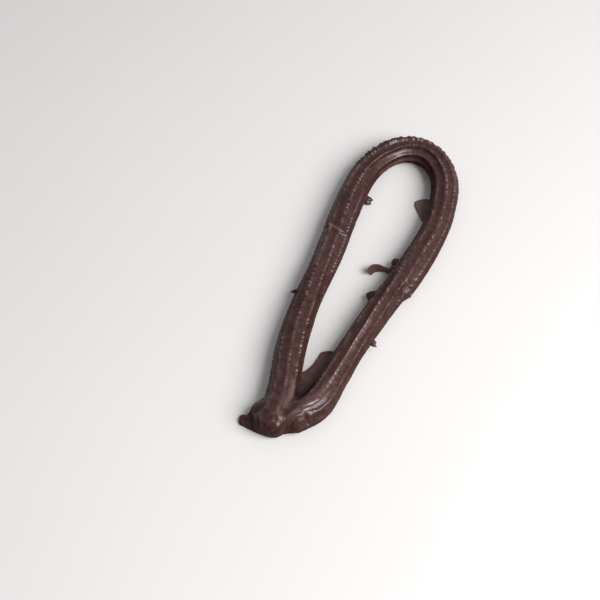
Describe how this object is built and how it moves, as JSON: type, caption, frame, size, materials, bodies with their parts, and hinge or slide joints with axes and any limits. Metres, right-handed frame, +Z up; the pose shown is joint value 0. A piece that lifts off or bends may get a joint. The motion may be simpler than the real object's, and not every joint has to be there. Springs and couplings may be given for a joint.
{
  "type": "chocolate coated churro",
  "caption": "Ridged strand of fried dough bent into a long flat loop with its ends pressed together, coated in dark chocolate, with small set drips.",
  "frame": {"origin": "centre of the outline in plan, on the surface the churro rests on", "axes": "+X along the loop from the pressed ends to the round bend, +Z up from the resting surface"},
  "size_m": [0.1864, 0.0578, 0.013],
  "materials": {
    "chocolate": "satin"
  },
  "bodies": {
    "root": {"churro": "chocolate"}
  },
  "joints": []
}
